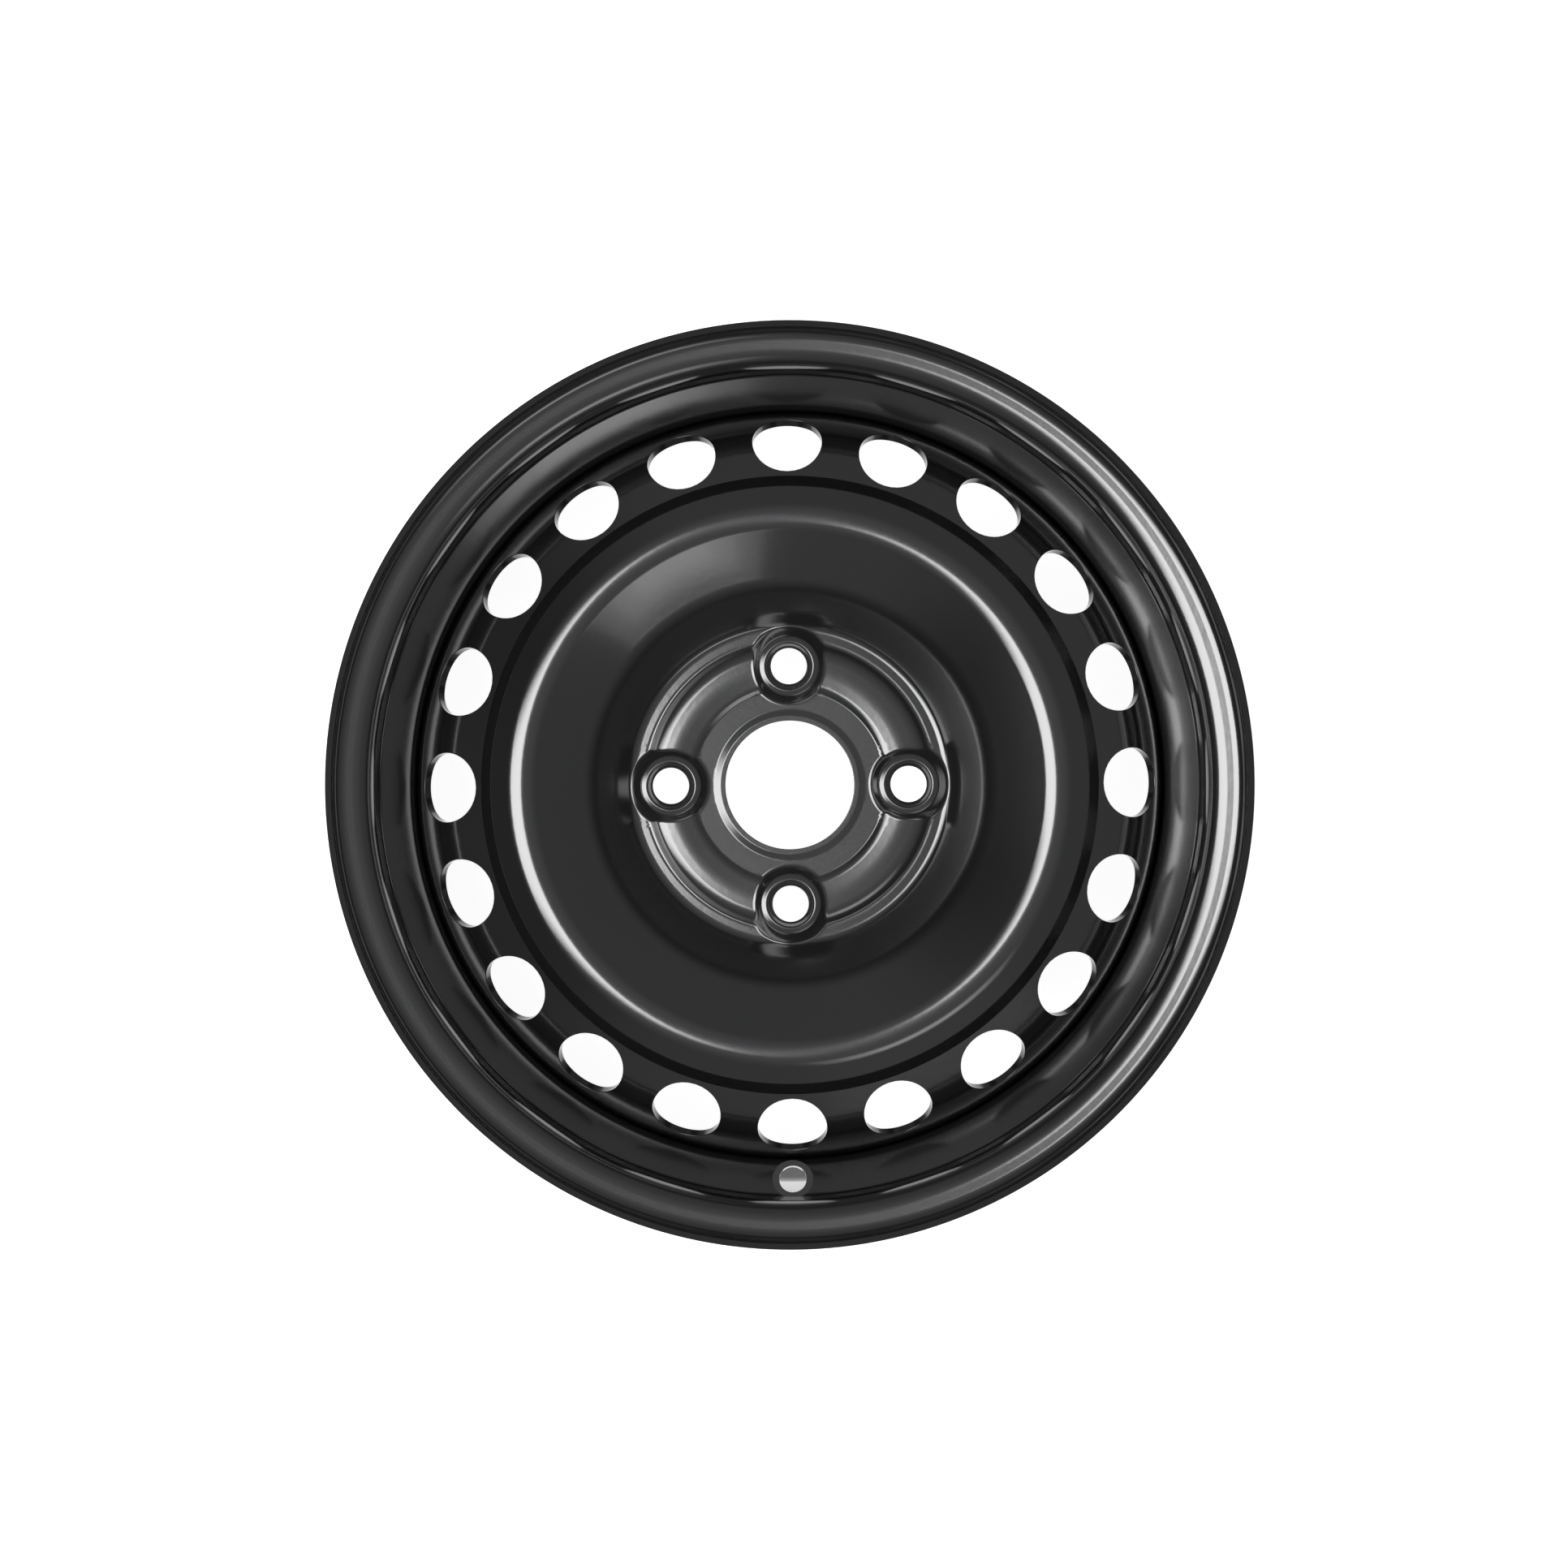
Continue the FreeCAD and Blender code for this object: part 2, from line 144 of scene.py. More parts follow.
def black_paint():
    """Baked black enamel: dark pigment, resin skin, orange peel and fine grain."""
    material, output = new_material("semi_gloss_black_stoving_paint")
    tree = material.node_tree
    place = add(tree, "ShaderNodeTexCoord").outputs["Object"]
    peel, grain, cloud = [
        add(tree, "ShaderNodeTexNoise", inputs={"Scale": 1 / size, "Detail": detail},
            links={"Vector": place}).outputs["Fac"]
        for size, detail in ((PEEL_SIZE, 1.0), (GRAIN_SIZE, 2.0), (CLOUD_SIZE, 3.0))]
    tint = add(tree, "ShaderNodeMix", {"data_type": "RGBA"},
               {"A": linear(PAINT), "B": linear(PAINT_GREY)}, {"Factor": cloud})
    rough = add(tree, "ShaderNodeMapRange",
                inputs={"To Min": PAINT_ROUGH[0], "To Max": PAINT_ROUGH[1]},
                links={"Value": grain})
    tip = dull_tips(tree, place)
    worn = add(tree, "ShaderNodeMix", inputs={"B": DULL_ROUGH},
               links={"Factor": tip, "A": rough.outputs["Result"]})
    skin = add(tree, "ShaderNodeMath", {"operation": "SUBTRACT"}, {0: 1.0}, {1: tip})
    shine = add(tree, "ShaderNodeMapRange",
                inputs={"To Min": FULL_SHINE, "To Max": DULL_SHINE}, links={"Value": tip})
    peel_bump = add(tree, "ShaderNodeBump",
                    inputs={"Strength": PEEL_STRENGTH, "Distance": PEEL_DEPTH},
                    links={"Height": peel})
    grain_bump = add(tree, "ShaderNodeBump",
                     inputs={"Strength": GRAIN_STRENGTH, "Distance": GRAIN_DEPTH},
                     links={"Height": grain, "Normal": peel_bump.outputs["Normal"]})
    enamel = add(tree, "ShaderNodeBsdfPrincipled",
                 inputs={"IOR": PAINT_IOR, "Coat IOR": RESIN_IOR, "Coat Roughness": RESIN_ROUGH},
                 links={"Base Color": tint.outputs["Result"],
                        "Roughness": worn.outputs["Result"],
                        "Coat Weight": skin.outputs["Value"],
                        "Specular IOR Level": shine.outputs["Result"],
                        "Normal": grain_bump.outputs["Normal"],
                        "Coat Normal": peel_bump.outputs["Normal"]})
    tree.links.new(enamel.outputs["BSDF"], output.inputs["Surface"])
    return material


paint = black_paint()
print("mixed", paint.name)

# %% [markdown]
# ## Bent sheet
#
# Pressed and rolled sheet is drawn as one line of corners and the bend at each corner. The
# other face of the sheet is the same line moved sideways by the sheet's thickness, so a bend
# that is tight on one face is wide on the other, as in real bent metal. From here to the weld
# beads, sizes are in mm and angles in degrees.

# %% Bent sheet
BEND_STEP = 6.0
SMALL_BEND = 0.7
SHEARED = 0.3


def left(way):
    """A quarter turn to the left."""
    return np.array((-way[1], way[0]))


def ways(corners):
    """Unit directions along the runs between corners."""
    spots = np.array([c[:2] for c in corners])
    steps = np.diff(spots, axis=0)
    return steps / np.linalg.norm(steps, axis=1)[:, None]


def bent(corners, side):
    """Points along a line with its corners rounded, and normals on its left (1) or right (-1)."""
    runs = ways(corners)
    points, normals = [np.array(corners[0][:2])], [side * left(runs[0])]
    for i in range(1, len(corners) - 1):
        here, radius = np.array(corners[i][:2]), corners[i][2]
        u, v = runs[i - 1], runs[i]
        turn = math.atan2(u[0] * v[1] - u[1] * v[0], u @ v)
        hand = math.copysign(1, turn)
        centre = here - u * radius * math.tan(abs(turn) / 2) + hand * radius * left(u)
        steps = max(2, math.ceil(abs(turn) / math.radians(BEND_STEP)))
        for angle in np.linspace(0, turn, steps + 1):
            way = math.cos(angle) * u + math.sin(angle) * left(u)
            points.append(centre - hand * radius * left(way))
            normals.append(side * left(way))
    points.append(np.array(corners[-1][:2]))
    normals.append(side * left(runs[-1]))
    return np.array(points), np.array(normals)


def behind(corners, thick):
    """The sheet's other face: every run moved to its right by the sheet's thickness."""
    runs = ways(corners)
    result = []
    for i, (r, z, radius) in enumerate(corners):
        u, v = runs[max(i - 1, 0)], runs[min(i, len(runs) - 1)]
        shift = -(left(u) + left(v)) / (1 + u @ v) * thick
        hand = np.sign(u[0] * v[1] - u[1] * v[0])
        result.append((r + shift[0], z + shift[1], max(radius + hand * thick, SMALL_BEND)))
    return result


def trimmed(corners):
    """The same line, a little shorter at both ends, where the sheared edges begin."""
    runs = ways(corners)
    first = np.array(corners[0][:2]) + runs[0] * SHEARED
    last = np.array(corners[-1][:2]) - runs[-1] * SHEARED
    return [(*first, 0)] + corners[1:-1] + [(*last, 0)]


def sheared_ends(front, back):
    """The sheet's two sheared edges, each with its two corners just broken."""
    result = []
    for end, side in ((0, -1), (-1, 1)):
        corners = [front[end][:2] + (SHEARED,), back[end][:2] + (SHEARED,)]
        result.append(bent([trimmed(front)[end], *corners, trimmed(back)[end]], side))
    return result


print("bends are drawn in steps of", BEND_STEP, "degrees")

# %% [markdown]
# ## The two sections
#
# Each row is a corner: its distance from the axis, its height and the bend that rounds it. The
# rim is drawn on the tyre's side, from the front flange's tip over the well to the rear tip.
# The disc is drawn on its front, from the bore over pads, bowl and crown to its flange.

# %% Sections
RIM_SHEET = 2.7
RIM_LINE = [
    (194.7, 42.05, 0), (194.7, 31.53, 9.2), (177.4, 30.17, 7.7), (175.65, 11.05, 5.0),
    (176.95, 6.85, 5.0), (175.0, 1.85, 5.5), (160.1, -6.07, 3.5), (160.1, -20.0, 0),
    (160.1, -42.142, 6.0), (168.0, -50.142, 8.0), (175.65, -80.65, 5.0), (176.95, -84.85, 5.0),
    (175.65, -89.05, 5.0), (177.4, -108.17, 7.7), (194.7, -109.53, 9.2), (194.7, -120.05, 0),
]
DISC_SHEET = 3.5
DISC_LINE = [
    (27.05, 5.9, 0), (29.2, 5.9, 1.5), (31.8, 5.1, 2.0), (40.3, 5.1, 1.2), (42.7, 6.35, 6.0),
    (49.5, 6.72, 45.0), (57.0, 6.38, 9.0), (60.7, 3.45, 2.0), (62.2, 3.53, 3.5), (66.6, 3.35, 4.5),
    (83.5, 20.5, 40.0), (98.0, 29.3, 400.0), (112.8, 37.4, 12.0), (125.5, 29.5, 2.0),
    (129.8, 24.4, 1.0), (157.4, 8.465, 36.0), (157.4, -34.0, 0),
]
print("corners of the rim", len(RIM_LINE), "and of the disc", len(DISC_LINE))

# %% [markdown]
# ## Turning
#
# A wheel is made of turned sections and of details that repeat around its axis. One function
# turns a section into a grid of points and another turns a finished detail to its next place.

# %% Turning
COLUMNS = 240
ALL_ROUND = np.arange(COLUMNS) * 360.0 / COLUMNS
QUARTERS = (0, 90, 180, 270)


def spun(vectors, degrees):
    """Turns points or normals about the spin axis."""
    c, s = math.cos(math.radians(degrees)), math.sin(math.radians(degrees))
    return vectors @ np.array([[c, s, 0], [-s, c, 0], [0, 0, 1]])


def swept(rows, degrees):
    """Turns section rows (points and normals in r, z) through a list of angles."""
    c, s = np.cos(np.radians(degrees)), np.sin(np.radians(degrees))
    return [np.stack([v[:, :1] * c, v[:, :1] * s, np.repeat(v[:, 1:], len(c), axis=1)], axis=-1)
            for v in rows]


print("columns around the wheel", COLUMNS)

# %% [markdown]
# ## Faces from grids
#
# Every surface below is a grid of points with the true normal at each point. Adding grids to
# one collector, merging the points that coincide and handing the true normals to the mesh
# gives long, unbroken reflections, which black paint needs more than any other finish. Points
# are merged by rounding, and a small shift keeps round sizes away from the rounding's edges.

# %% Grids
MERGE_STEPS_PER_MM = 2000
MERGE_SHIFT = 0.37


class Sheet:
    """Collects grids of points, in mm, and turns them into one smooth mesh object."""

    def __init__(self):
        self.points, self.normals, self.faces, self.count = [], [], [], 0

    def add_points(self, points, normals):
        """Adds loose points and returns the number of the first."""
        first = self.count
        self.points.append(points.reshape(-1, 3))
        self.normals.append(normals.reshape(-1, 3))
        self.count += self.points[-1].shape[0]
        return first

    def grid(self, points, normals, wrap=True):
        """Adds a grid of rows and columns; the columns close on themselves when it wraps."""
        rows, columns = points.shape[:2]
        first = self.add_points(points, normals)
        number = first + np.arange(rows * columns).reshape(rows, columns)
        after = np.roll(number, -1, axis=1) if wrap else number[:, 1:]
        before = number if wrap else number[:, :-1]
        quads = np.stack([before[:-1], after[:-1], after[1:], before[1:]], axis=-1)
        self.faces.append(quads.reshape(-1, 4))

    def copies(self, points, normals, add_one, angles):
        """Repeats an addition around the spin axis."""
        for angle in angles:
            add_one(spun(points, angle), spun(normals, angle))

    def merged(self):
        """The points that differ, their mean normals and the new number of each old point."""
        points, normals = np.concatenate(self.points), np.concatenate(self.normals)
        cells = np.round(points * MERGE_STEPS_PER_MM + MERGE_SHIFT)
        _, first, same = np.unique(cells, axis=0, return_index=True, return_inverse=True)
        same = same.ravel()
        summed = np.zeros((len(first), 3))
        np.add.at(summed, same, normals)
        return points[first], summed / np.linalg.norm(summed, axis=1)[:, None], same

    def build(self, name, material):
        """Merges points that coincide, turns every face outward and makes the object."""
        points, normals, same = self.merged()
        faces = []
        for block in self.faces:
            block = same[block]
            across = np.cross(points[block[:, 2]] - points[block[:, 0]],
                              points[block[:, -1]] - points[block[:, 1]])
            wrong = np.einsum("ij,ij->i", across, normals[block].mean(axis=1)) < 0
            block[wrong] = block[wrong][:, ::-1]
            for face in block.tolist():
                ring = list(dict.fromkeys(face))
                if len(ring) > 2:
                    faces.append(ring)
        mesh = bpy.data.meshes.new(name)
        mesh.from_pydata((points * MM).tolist(), [], faces)
        mesh.shade_smooth()
        mesh.normals_split_custom_set_from_vertices(normals.tolist())
        mesh.materials.append(material)
        piece = bpy.data.objects.new(name, mesh)
        bpy.context.collection.objects.link(piece)
        triangles = sum(len(f) - 2 for f in faces)
        print(name, "points", len(points), "triangles", triangles)
        return piece


print("points closer than", 1 / MERGE_STEPS_PER_MM, "mm are merged")

# %% [markdown]
# ## Places on a turned face
#
# A hole has to be laid out on a face that is bent, so each face of the sheet can be asked for
# the point and the normal at a distance along its section and an angle about the axis, like a
# map with two coordinates.

# %% Places on a face
R, Z = 0, 1
TINY = 1e-9


class Face:
    """One face of a turned sheet, found by the distance along its section."""

    def __init__(self, corners, side):
        self.points, self.normals = bent(corners, side)
        steps = np.linalg.norm(np.diff(self.points, axis=0), axis=1)
        self.along = np.concatenate([[0], np.cumsum(steps)])

    def at(self, along, degrees):
        """Point and normal at a distance along the section and an angle about the axis."""
        r, z, nr, nz = (np.interp(along, self.along, v) for v in
                        (*self.points.T, *self.normals.T))
        size = np.hypot(nr, nz)
        c, s = np.cos(np.radians(degrees)), np.sin(np.radians(degrees))
        return (np.stack([r * c, r * s, z], axis=-1),
                np.stack([nr * c, nr * s, nz], axis=-1) / size[..., None])

    def between(self, start, end):
        """Which of the section's own points lie between two distances along it."""
        return (self.along >= start - TINY) & (self.along <= end + TINY)

    def rows(self, start, end):
        """The section's own points from one distance to another."""
        keep = self.between(start, end)
        return self.points[keep], self.normals[keep]

    def stations(self, start, end, count):
        """A set number of distances: the section's own, then the middles of the widest gaps."""
        own = list(np.unique(np.round(self.along[self.between(start, end)], 6)))
        while len(own) < count:
            widest = int(np.argmax(np.diff(own)))
            own.insert(widest + 1, (own[widest] + own[widest + 1]) / 2)
        return np.array(own)

    def near(self, column, value, after=0.0):
        """Distance along the section of the first own point that passes a value of R or Z."""
        ahead = self.along >= after
        sign = np.sign(value - self.points[ahead][0][column])
        passed = ahead & (sign * (self.points[:, column] - value) >= 0)
        return self.along[np.argmax(passed)]

    def pierced(self, spot, way, start, end):
        """Where a hole's axis passes through the face, between two distances along it."""
        off = (self.points - spot[[0, 2]]) @ (way[2], -way[0])
        span = (self.along >= start) & (self.along <= end)
        rising = np.sign(off[span][-1] - off[span][0])
        return np.array([np.interp(0, rising * off[span], self.along[span]), 0.0])


print("front of the disc, along its section", Face(DISC_LINE, 1).along[-1], "mm")

# %% [markdown]
# ## Holes in a turned sheet
#
# A vent or a valve hole is punched through a curved face. Rays run from the middle of the hole
# to the border of its patch; along each ray a search finds where the punch's wall meets the
# face. The mesh then flows round the hole, over a broken edge and down the wall to the other
# face, so no reflection is disturbed, as it would be where a boolean cuts long triangles.

# %% Holes
SPREAD = np.array([1.0, 0.74, 0.5, 0.3, 0.14, 0.05, 0.0])
EDGE_PARTS = (0.3, 0.65, 1.0)
HALVINGS = 30


def hole_rings(face, border, middle, spot, way, radius, broken, circles=(), press=None):
    """Rings of a patch, from its border over the hole's broken edge to the top of its wall."""
    def on_face(part):
        points, normals = face.at(*(middle + part[:, None] * (border - middle)).T)
        return press(points, normals) if press else (points, normals)

    def off_axis(points):
        away = points - spot
        return away - (away @ way)[:, None] * way

    def reach(distance):
        low, high = np.zeros(len(border)), np.ones(len(border))
        for _ in range(HALVINGS):
            half = (low + high) / 2
            inside = np.linalg.norm(off_axis(on_face(half)[0]), axis=1) < distance
            low, high = np.where(inside, half, low), np.where(inside, high, half)
        return low

    circles = [reach(distance) for distance in (*circles, radius + broken)]
    rings = [on_face(circles[0] + (1 - circles[0]) * part) for part in SPREAD]
    rings += [on_face(part) for part in circles[1:]]
    start, outward = rings[-1]
    corner = on_face(reach(radius))[0]
    wall = -off_axis(corner) / radius
    inward = -np.sign(np.einsum("ij,j->i", outward, way))[:, None] * way
    end = corner + broken * inward
    for part in EDGE_PARTS:
        points = (1 - part) ** 2 * start + 2 * part * (1 - part) * corner + part ** 2 * end
        normals = (1 - part) * outward + part * wall
        rings.append((points, normals / np.linalg.norm(normals, axis=1)[:, None]))
    return np.array([r[0] for r in rings]), np.array([r[1] for r in rings])


def frame_of(start, end, rows, half, columns):
    """Border of a patch: along its lower edge, up one side, back along the top, down the other."""
    across = np.linspace(-half, half, columns + 1)
    lower = [(start, a) for a in across[:-1]]
    up = [(s, half) for s in rows[:-1]]
    upper = [(end, a) for a in across[:0:-1]]
    down = [(s, -half) for s in rows[:0:-1]]
    return np.array(lower + up + upper + down)


print("rings from a patch's border to its hole", len(SPREAD) + len(EDGE_PARTS))

# %% [markdown]
# ## The rim band
#
# One strip of 2.7 mm sheet, rolled to a hoop: two curled flanges, two bead seats with safety
# humps and the well between them. The valve hole sits in a small pressed flat in the front
# wall of the well, so that the valve's rubber seals on a plane. The wall is smooth up to the
# flat's border, so the flat is pressed into the grid's points and not cut out of the mesh.

# %% Rim band
VALVE_ANGLE = 270.0
VALVE_LEAN = math.radians(15.0)
VALVE_SPOT = np.array([166.0, 0.0, 0.123])
VALVE_WAY = np.array([-math.sin(VALVE_LEAN), 0.0, math.cos(VALVE_LEAN)])
VALVE_RADIUS, VALVE_EDGE = 5.75, 0.2
VALVE_FLAT, VALVE_BLEND = 8.5, 0.7
VALVE_CIRCLES = (9.0, 8.8, 8.6, 8.4, 8.2, 8.0, 7.0)
# The valve's patch: its heights, half its angle, and its points along and across.
VALVE_TOP, VALVE_FOOT = 13.0, -19.9
VALVE_HALF, VALVE_COLUMNS, VALVE_ROWS = 4.5, 6, 48


def flat_spot(level):
    """Returns a function that presses a face of the wall to a plane inside the valve's flat."""
    def press(points, normals):
        height = (points - VALVE_SPOT) @ VALVE_WAY
        away = points - VALVE_SPOT - height[:, None] * VALVE_WAY
        inside = VALVE_FLAT + VALVE_BLEND / 2 - np.linalg.norm(away, axis=1)
        part = np.clip(inside / VALVE_BLEND, 0, 1)
        part = part * part * (3 - 2 * part)
        points = points - (part * (height - level))[:, None] * VALVE_WAY
        flat = np.sign(normals @ VALVE_WAY)[:, None] * VALVE_WAY
        normals = (1 - part)[:, None] * normals + part[:, None] * flat
        return points, normals / np.linalg.norm(normals, axis=1)[:, None]
    return press


def rim_band():
    """The rolled rim: both faces, two sheared tips and the valve hole."""
    sheet = Sheet()
    back = behind(RIM_LINE, RIM_SHEET)
    for end in sheared_ends(RIM_LINE, back):
        sheet.grid(*swept(end, ALL_ROUND))
    beside = ALL_ROUND[abs(ALL_ROUND - VALVE_ANGLE) >= VALVE_HALF]
    beside = np.roll(beside, -np.argmax(beside > VALVE_ANGLE))
    rings = []
    for corners, side, level in ((RIM_LINE, 1, -RIM_SHEET), (back, -1, 0.0)):
        face = Face(trimmed(corners), side)
        start, end = face.near(Z, VALVE_TOP), face.near(Z, VALVE_FOOT)
        for low, high in ((0, start), (end, face.along[-1])):
            sheet.grid(*swept(face.rows(low, high), ALL_ROUND))
        stations = face.stations(start, end, VALVE_ROWS)
        points, normals = face.at(*np.meshgrid(stations, beside, indexing="ij"))
        sheet.grid(points, normals, wrap=False)
        border = frame_of(start, end, stations, VALVE_HALF, VALVE_COLUMNS)
        middle = face.pierced(VALVE_SPOT, VALVE_WAY, start, end)
        rings.append(hole_rings(face, border, middle, VALVE_SPOT, VALVE_WAY, VALVE_RADIUS,
                                VALVE_EDGE, VALVE_CIRCLES, flat_spot(level)))
    valve = [np.concatenate([rings[1][i], rings[0][i][::-1]]) for i in (0, 1)]
    sheet.grid(*(spun(v, VALVE_ANGLE) for v in valve))
    return sheet


rim_sheet = rim_band()
print("rim band: grids", len(rim_sheet.faces), "points", rim_sheet.count)

# %% [markdown]
# ## The hub area
#
# The middle of the disc is one pressing: flat ring, raised pads and four bosses with cone
# seats, hollow behind. It is sampled as two height fields, front and back, in which a boss
# grows out of the pads over a soft fillet. Around a bolt hole the points lie in rings, and
# a triangulation fills the rest of a quarter.

# %% Hub area
BORE_RADIUS = 27.05
BOLT_CIRCLE, BOLT_RADIUS = 50.0, 7.6
BOLT_WALL = (5.8, 4.7)
FRONT_BOSS = [(7.6, 6.04, 0), (10.0, 10.2, 0.9), (12.7, 9.3, 2.0), (27.2, -11.4, 0)]
BACK_BOSS = [(7.6, 4.4, 0), (12.3, 4.4, 2.0), (32.0, -16.7, 0)]
FRONT_SOFT, BACK_SOFT = 1.6, 2.2
BOSS_RIM, BOSS_CLEAR, BOSS_RAYS = 19.6, 0.35, 120
BOSS_TURN = np.radians(np.arange(BOSS_RAYS) * 360.0 / BOSS_RAYS)
FRONT_RINGS = (19.6, 19.0, 18.4, 17.8, 17.2, 16.6, 16.0, 15.4, 14.7, 14.0, 13.4, 12.9, 12.5, 12.1,
               11.5, 10.9, 10.6, 10.3, 10.1, 9.9, 9.7, 9.5, 8.6, 7.6)
BACK_RINGS = (19.6, 18.6, 17.6, 16.6, 15.6, 14.8, 14.0, 13.4, 12.8, 12.2, 11.6, 10.0, 7.95)
HUB_EDGE, HUB_LIMIT, HUB_STEP = 70.9, 100.0, 1.6
# What the triangulation returns, and the distance at which it joins points.
WHOLE_HULL, SAME_SPOT = 0, 1e-5
# Triangles that bridge the bore have their middles below this share of its radius.
BORE_SHARE = 0.9999


class Hub:
    """One face of the hub area as a height field: the turned section joined to a boss."""

    def __init__(self, face, boss, soft, sign):
        self.face, self.soft, self.sign = face, soft, sign
        self.boss = bent(boss, 1)

    @staticmethod
    def read(line, at):
        """Height and slope of a section at a radius."""
        points, normals = line
        return (np.interp(at, points[:, 0], points[:, 1]),
                np.interp(at, points[:, 0], -normals[:, 0] / normals[:, 1]))

    def at(self, x, y):
        """Points and normals over places in the wheel's plane."""
        r, out = np.hypot(x, y), np.hypot(x - BOLT_CIRCLE, y)
        hub_only = self.face.points[:, 0] < HUB_LIMIT
        turned, slope = self.read((self.face.points[hub_only], self.face.normals[hub_only]), r)
        boss, boss_slope = self.read(self.boss, out)
        part = np.clip(0.5 + 0.5 * (turned - boss) / self.soft, 0, 1)
        z = boss + (turned - boss) * part + self.soft * part * (1 - part)
        gx = part * slope * x / r + (1 - part) * boss_slope * (x - BOLT_CIRCLE) / out
        gy = part * slope * y / r + (1 - part) * boss_slope * y / out
        normals = np.stack([-gx, -gy, np.ones_like(gx)], axis=-1) * self.sign
        return np.stack([x, y, z], axis=-1), normals / np.linalg.norm(normals, axis=-1)[..., None]

    def boss_rings(self, radii):
        """Rings around a bolt hole."""
        radii = np.array(radii)[:, None]
        return self.at(BOLT_CIRCLE + radii * np.cos(BOSS_TURN), radii * np.sin(BOSS_TURN))

    def around(self, end):
        """Triangles of a quarter of the hub, from the bore to a radius, round the boss's foot."""
        own = self.face.points[self.face.along <= end + TINY, 0]
        rows = [own[0]]
        for radius in own[1:]:
            more = max(1, math.ceil((radius - rows[-1]) / HUB_STEP))
            rows += list(np.linspace(rows[-1], radius, more + 1)[1:])
        turn = np.radians(np.linspace(-45, 45, COLUMNS // 4 + 1))
        spots = np.stack([np.outer(rows, np.cos(turn)), np.outer(rows, np.sin(turn))], axis=-1)
        spots = spots.reshape(-1, 2)
        clear = np.hypot(spots[:, 0] - BOLT_CIRCLE, spots[:, 1]) > BOSS_RIM + BOSS_CLEAR
        circle = self.boss_rings([BOSS_RIM])[0][0, :, :2]
        spots = [Vector(s) for s in np.concatenate([spots[clear], circle])]
        made = delaunay_2d_cdt(spots, [], [], WHOLE_HULL, SAME_SPOT)
        spots = np.array([tuple(v) for v in made[0]])
        triangles = np.array(made[2])
        middle = spots[triangles].mean(axis=1)
        keep = np.hypot(middle[:, 0] - BOLT_CIRCLE, middle[:, 1]) > BOSS_RIM
        keep &= np.hypot(*middle.T) > own[0] * BORE_SHARE
        return self.at(*spots.T), triangles[keep]


def bolt_seat(front, back):
    """One boss: front rings, cone seat, hole wall and the hollow behind, as one grid."""
    c, s = np.cos(BOSS_TURN), np.sin(BOSS_TURN)
    ring = np.stack([BOLT_CIRCLE + BOLT_RADIUS * c, BOLT_RADIUS * s])
    walls = np.array([np.stack([*ring, np.full(BOSS_RAYS, z)], axis=-1) for z in BOLT_WALL])
    facing = np.stack([-c, -s, np.zeros(BOSS_RAYS)], axis=-1)
    top, low = front.boss_rings(FRONT_RINGS), back.boss_rings(BACK_RINGS)
    return (np.concatenate([top[0], walls, low[0][::-1]]),
            np.concatenate([top[1], [facing] * len(BOLT_WALL), low[1][::-1]]))


print("rings on a boss: front", len(FRONT_RINGS), "back", len(BACK_RINGS))

# %% [markdown]
# ## The pressed disc
#
# Outside the hub area the disc is a plain turned sheet: bowl, crown, shoulder and flange. The
# vents are punched on a slant through the shoulder, where the sheet bends into its flange.
# One vent's patch is a twentieth of the ring, so twenty copies close it.

# %% Disc
VENT_COUNT, VENT_RADIUS, VENT_EDGE = 20, 14.6, 0.3
VENT_LEAN = math.radians(47.0)
VENT_SPOT = np.array([142.0, 0.0, 12.6])
VENT_WAY = np.array([math.sin(VENT_LEAN), 0.0, math.cos(VENT_LEAN)])
# A vent's patch: its inner radii, its foot's height, half its angle, and its points.
VENT_FRONT_START, VENT_BACK_START, VENT_FOOT = 129.9, 128.2, -12.2
VENT_HALF, VENT_COLUMNS, VENT_ROWS = 9.0, 12, 15


def back_of_disc():
    """The back of the disc's section, brought to the bore along its first run."""
    back = behind(DISC_LINE, DISC_SHEET)
    (r0, z0, _), (r1, z1, _) = back[:2]
    back[0] = (BORE_RADIUS, z1 + (z0 - z1) * (r1 - BORE_RADIUS) / (r1 - r0), 0)
    return back


def wheel_disc():
    """The pressed disc: hub, bowl, crown, vents and flange."""
    sheet = Sheet()
    back = back_of_disc()
    for end in sheared_ends(DISC_LINE, back):
        sheet.grid(*swept(end, ALL_ROUND))
    faces = [Face(trimmed(DISC_LINE), 1), Face(trimmed(back), -1)]
    hubs = [Hub(faces[0], FRONT_BOSS, FRONT_SOFT, 1), Hub(faces[1], BACK_BOSS, BACK_SOFT, -1)]
    rings = []
    for face, hub, vent_radius in zip(faces, hubs, (VENT_FRONT_START, VENT_BACK_START)):
        hub_end = face.near(R, HUB_EDGE)
        start = face.near(R, vent_radius)
        end = face.near(Z, VENT_FOOT, start)
        for low, high in ((hub_end, start), (end, face.along[-1])):
            sheet.grid(*swept(face.rows(low, high), ALL_ROUND))
        (points, normals), triangles = hub.around(hub_end)
        for angle in QUARTERS:
            first = sheet.add_points(spun(points, angle), spun(normals, angle))
            sheet.faces.append(triangles + first)
        stations = face.stations(start, end, VENT_ROWS)
        border = frame_of(start, end, stations, VENT_HALF, VENT_COLUMNS)
        middle = face.pierced(VENT_SPOT, VENT_WAY, start, end)
        rings.append(hole_rings(face, border, middle, VENT_SPOT, VENT_WAY, VENT_RADIUS, VENT_EDGE))
    vent = [np.concatenate([rings[0][i], rings[1][i][::-1]]) for i in (0, 1)]
    sheet.copies(*vent, sheet.grid, np.arange(VENT_COUNT) * 360.0 / VENT_COUNT)
    sheet.copies(*bolt_seat(*hubs), sheet.grid, QUARTERS)
    return sheet


